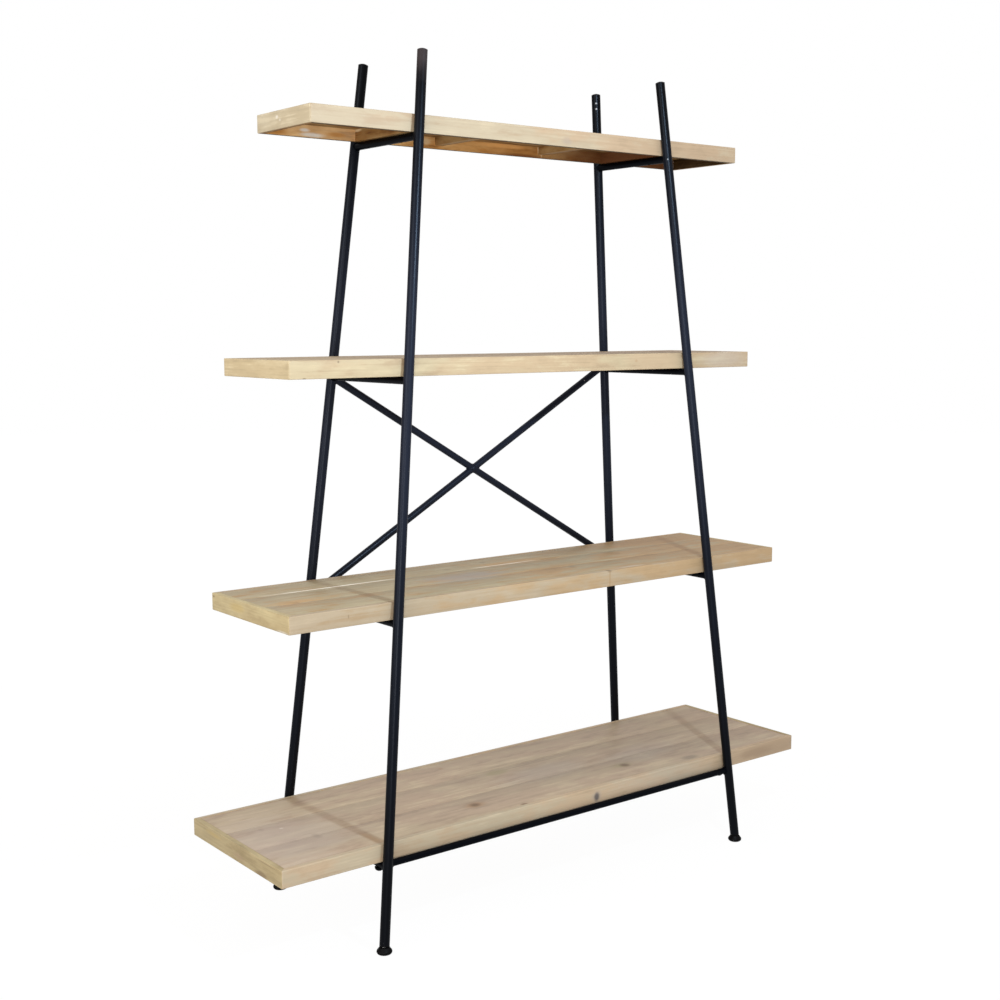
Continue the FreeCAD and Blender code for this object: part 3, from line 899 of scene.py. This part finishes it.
for shelf in SHELVES:
    low, high = shelf_box(shelf)
    depth = high.y - low.y
    wall_heart, end_heart = (-0.3, low.y + 0.05, low.z + 0.012), (0.0, 0.06, low.z + 0.02)
    top_heart = (0.1, 0.0, high.z - 0.06)
    long_wood = wood_finish(
        "limed_wall_%d" % shelf, shelf * 1.0, *WALL_TONES[shelf], wall_heart, lean=0.28,
        spots=WALL_SPOTS[shelf], worn=WALL_WEAR[shelf])
    end_wood = wood_finish(
        "limed_end_%d" % shelf, shelf * 2.3, *END_TONES[shelf], end_heart, way="Y",
        spots=END_SPOTS[shelf], worn=1.5)
    top_wood = wood_finish(
        "limed_boards_%d" % shelf, shelf * 1.7, *TOP_TONES[shelf], top_heart, lean=TOP_LEAN[shelf],
        strips=(low.y, depth / round(depth / strip_width)), spots=TOP_SPOTS[shelf],
        fine=COARSE, worn=2.2, gloss=TOP_GLOSS[shelf])
    for side in ("front_wall", "rear_wall", "left_end", "right_end"):
        wall = walls["shelf_%d_%s" % (shelf, side)]
        inward = Vector(wall["inward"])
        wood, raw = (long_wood, raw_along) if "wall" in side else (end_wood, raw_across)
        if (shelf, side) == (1, "rear_wall"):
            raw = stained_lit_and_shaded
        if (shelf, side) == (1, "right_end"):
            raw = raw_shaded
        finish_faces(
            wall, lambda face: 1 if face.normal.dot(inward) > 0.5 else 2 if face.normal.z < -0.9 else 0,
            wood, raw, sawn_edge if "wall" in side else sawn_end)
    finish_faces(boards[shelf], lambda face: 1 if face.normal.z < -0.5 else 0, top_wood, shaded_raw_under)
    finish_faces(nodes["shelf_%d_ribs" % shelf], lambda face: 0, shaded_rib_wood)
print("finished %d walls and %d board sets" % (len(walls), len(boards)))

# %% [markdown]
# ## Painted steel, plastic and zinc
#
# The frame is powder coated: nearly black, satin, with the faint orange peel that powder leaves when it melts,
# and grey specks where it has been knocked. The legs and crossed rods carry painted sheen and shade: lighter at
# mid height, blacker at both ends. They have a few chips, and the front left leg's top is lighter and browner.
# The rails, the front bar and the screws have a darker, duller copy of the coat, painted shade for their place
# under the shelves. The plugs, inserts and pads are moulded plastic, blacker and duller still. The studs are
# bright zinc.

# %% Powder coat
BLACK, SATIN = (0.0028, 0.0037, 0.0070), (0.0052, 0.0066, 0.0115)
# painted shade and sheen: near black at the legs' ends, lighter at mid height
PAINTED_SHADE_BLACK, PAINTED_SHEEN = (0.0012, 0.0012, 0.0018, 1), (0.0120, 0.0145, 0.0250, 1)
SPECK, BROWN_TOP_TONE, PRIMER = (0.05, 0.05, 0.05, 1), (0.042, 0.032, 0.032, 1), (0.45, 0.46, 0.48, 1)
# a lighter, browner patch at the top of the front left leg
BROWN_TOP_CENTRE, BROWN_TOP_RADII = (-0.330, -0.1105, 1.786), (0.03, 0.03, 0.055)
CHIPS = (
    (0.3229, 0.1025, 1.7765), (0.3242, 0.1032, 1.7638), (0.3379, -0.1265, 1.6267), (0.3249, 0.1423, 1.1160))
CHIP_RADII = (0.0022, 0.0022, 0.0022)


def powder_coat(name, lit_share=1.0, shade_by_height=True):
    """Near-black powder paint with painted sheen and shade by height; a low lit share darkens it as painted
    shade.
    """
    finish, place, shader = new_finish(name)
    peel = noise(scaled(place, (650.0,) * 3), 1.0)
    cloud = noise(scaled(place, (14.0,) * 3), 3.0)
    speck = ease(noise(scaled(place, (260.0, 260.0, 140.0)), 2.0), 0.77, 0.80)
    # a lit share below 1 darkens the whole coat as painted shade
    colour = mix(cloud, times(BLACK, lit_share), times(SATIN, lit_share))
    # painted sheen and shade: near black below 0.1 m and above 1.78 m, lightest between 1.0 m and 1.25 m
    if shade_by_height:
        climb = axis(place, "Z")
        colour = mix(ease(climb, 0.10, 0.60) * ease(climb, 1.78, 1.55), PAINTED_SHADE_BLACK, colour)
        colour = mix(ease(climb, 0.60, 1.00) * ease(climb, 1.58, 1.25), colour, PAINTED_SHEEN)
    colour = mix(speck * 0.6, colour, SPECK)
    colour = mix(spot(place, cloud, BROWN_TOP_CENTRE, BROWN_TOP_RADII), colour, BROWN_TOP_TONE)
    for centre in CHIPS:
        colour = mix(spot(place, cloud, centre, CHIP_RADII), colour, PRIMER)
    bump = peel.add("Bump", {}, {"Strength": 0.12, "Distance": 0.0003, "Height": peel - speck * 0.6})
    feed(shader, Base_Color=colour, Roughness=0.27 + cloud * 0.12 + speck * 0.2, Normal=bump,
         Specular_IOR_Level=0.14 * lit_share, Specular_Tint=(0.72, 0.82, 1.0, 1))
    return finish


# %% Moulded plastic and zinc
def moulded_plastic(name):
    finish, place, shader = new_finish(name)
    grainy = noise(scaled(place, (1400.0,) * 3), 2.0)
    scuff = ease(noise(scaled(place, (90.0, 90.0, 260.0)), 3.0), 0.58, 0.75)
    colour = mix(scuff * 0.5, (0.002, 0.002, 0.0025, 1), (0.008, 0.008, 0.008, 1))
    bump = grainy.add("Bump", {}, {"Strength": 0.3, "Distance": 0.0002, "Height": grainy})
    feed(shader, Base_Color=colour, Roughness=0.48 + scuff * 0.2, Normal=bump, Specular_IOR_Level=0.09)
    return finish


def bright_zinc(name):
    finish, place, shader = new_finish(name)
    cloud = noise(scaled(place, (220.0,) * 3), 3.0)
    scratch = noise(scaled(place, (300.0, 300.0, 2500.0)), 2.0)
    colour = mix(cloud, (0.50, 0.51, 0.52, 1), (0.68, 0.69, 0.70, 1))
    bump = scratch.add("Bump", {}, {"Strength": 0.2, "Distance": 0.0001, "Height": scratch})
    feed(shader, Base_Color=colour, Roughness=0.30 + cloud * 0.2, Normal=bump, Metallic=1.0)
    return finish


# %% Coat the frame
# the rails, the front bar and the screws get a darker, duller copy: painted shade for their place under the
# shelves
coat, shaded_coat = powder_coat("powder_coat"), powder_coat("powder_coat_shaded", lit_share=0.35, shade_by_height=False)
plastic, zinc = moulded_plastic("moulded_plastic"), bright_zinc("bright_zinc")


def coat_with(finish, pieces):
    for piece in pieces:
        piece.data.materials.clear()
        piece.data.materials.append(finish)


def named(*starts):
    return [piece for name, piece in nodes.items() if name.startswith(starts)]


plugs = named("leg_cap_", "leg_insert_", "foot_pad_")
tubes = [piece for piece in named("leg_", "brace_") if piece not in plugs]
rails = named("rail_", "front_bar")
coat_with(coat, tubes + [brace_welds])
coat_with(shaded_coat, rails + [rail_welds, bar_welds, driven_screws])
coat_with(plastic, plugs)
coat_with(zinc, [bpy.data.objects["threaded_stud_" + corner] for corner in CORNERS])
print("%d tubes coated, %d plugs moulded" % (len(tubes) + len(rails), len(plugs)))

# %% [markdown]
# ## Light, floor and camera
#
# A product is photographed on white. A small bluish light close in front draws the legs' narrow shadows on the
# shelves, and two larger warm ones fill in. The floor shines of its own, wholly so far away, which hides the
# horizon. It is white to the camera and dimmer to the shelves, which it lights from below as a white studio
# floor does. The sky, too, is white only to the camera. The camera stands where the photograph was taken from.

# %% A floor that melts into white
floor_radius, floor_level = 14, -0.0005
to_shelves, to_camera = 0.55, 1.01  # strength of the glow
glow_share, near, far = 0.96, 0.8, 2.4  # near the unit, growing to 1 between two distances
put_down()
bpy.ops.mesh.primitive_circle_add(
    vertices=96, radius=floor_radius, fill_type="NGON", location=(0, 0, floor_level))
floor = settle(bpy.context.object)
floor.name = "studio_floor"
paper, place, _ = new_finish("white_floor")
away = scaled(place, (1, 1, 0))
distance = away.add("VectorMath", {"operation": "LENGTH"}, {0: away}, 1)
seen = place.add("LightPath", {}, {}, "Is Camera Ray")
faint = place.add("Emission", {}, {"Color": (1, 1, 1, 1), "Strength": to_shelves})
bright = place.add("Emission", {}, {"Color": (1, 1, 1, 1), "Strength": to_camera})
glow = place.add("MixShader", {}, {0: seen, 1: faint, 2: bright})
matt = place.add("BsdfDiffuse", {}, {"Color": (0.92, 0.92, 0.92, 1)})
melt = glow_share + ease(distance, near, far) * (1 - glow_share)
surface = place.add("MixShader", {}, {0: melt, 1: matt, 2: glow})
paper.node_tree.links.new(surface.socket, paper.node_tree.nodes["Material Output"].inputs["Surface"])
floor.data.materials.append(paper)


# %% Lights
BLUISH, WARM = (0.80, 1.0, 1.15), (1.04, 1.0, 0.95)


def area_light(name, place, aim, size, watts, tint):
    """A square area light that faces a point."""
    lamp = bpy.data.lights.new(name, "AREA")
    lamp.size, lamp.energy, lamp.color = size, watts, tint
    lit = bpy.data.objects.new(name, lamp)
    bpy.context.scene.collection.objects.link(lit)
    lit.location = place
    lit.rotation_euler = (Vector(aim) - Vector(place)).to_track_quat("-Z", "Y").to_euler()
    lit.visible_camera = False


area_light("key", (-0.28, -1.47, 1.75), (0, 0, 0.8), 0.06, 16, BLUISH)
area_light("left_fill", (-4.0, -1.0, 1.8), (0, 0, 0.9), 2.2, 56, WARM)
area_light("front_fill", (-2.4, -2.9, 0.8), (0, 0, 0.9), 0.9, 34, WARM)

# %% A sky that is white only to the camera
sky = bpy.data.worlds.new("studio_sky")
bpy.context.scene.world = sky
sky.use_nodes = True
sky.node_tree.nodes.clear()
start = Shade(sky.node_tree)
climb = axis(start.add("TexCoord", {}, {}, "Generated"), "Z")
strength = 0.36 + ease(climb, 0.0, 0.5) * 0.40  # more overhead
dim = start.add("Background", {}, {"Color": (1.05, 0.985, 0.94, 1), "Strength": strength})
white = start.add("Background", {}, {"Color": (1, 1, 1, 1), "Strength": 1.0})
seen = start.add("LightPath", {}, {}, "Is Camera Ray")
whole = start.add("MixShader", {}, {0: seen, 1: dim, 2: white})
end = sky.node_tree.nodes.new("ShaderNodeOutputWorld")
sky.node_tree.links.new(whole.socket, end.inputs["Surface"])
bpy.context.scene.view_settings.view_transform = "Standard"

# %% Camera
image_side, focal = 1000, 1425.82  # pixels
yaw, pitch, roll = 0.66145, -0.12376, -0.00188  # radians
camera_place = (-2.00364, -2.51196, 1.25682)
half_pixel = 0.5 / image_side
ahead = Vector((math.sin(yaw) * math.cos(pitch), math.cos(yaw) * math.cos(pitch), math.sin(pitch)))
right = Vector((math.cos(yaw), -math.sin(yaw), 0))
up = right.cross(ahead)
side = math.cos(roll) * right + math.sin(roll) * up
top = math.cos(roll) * up - math.sin(roll) * right

lens = bpy.data.cameras.new("camera")
lens.sensor_width = 36.0
lens.lens = focal / image_side * lens.sensor_width
lens.shift_x, lens.shift_y = -half_pixel, half_pixel
camera = bpy.data.objects.new("camera", lens)
bpy.context.scene.collection.objects.link(camera)
camera.matrix_world = Matrix((
    (side.x, top.x, -ahead.x, camera_place[0]),
    (side.y, top.y, -ahead.y, camera_place[1]),
    (side.z, top.z, -ahead.z, camera_place[2]),
    (0, 0, 0, 1)))
bpy.context.scene.camera = camera
print("lens %.2f mm" % lens.lens)
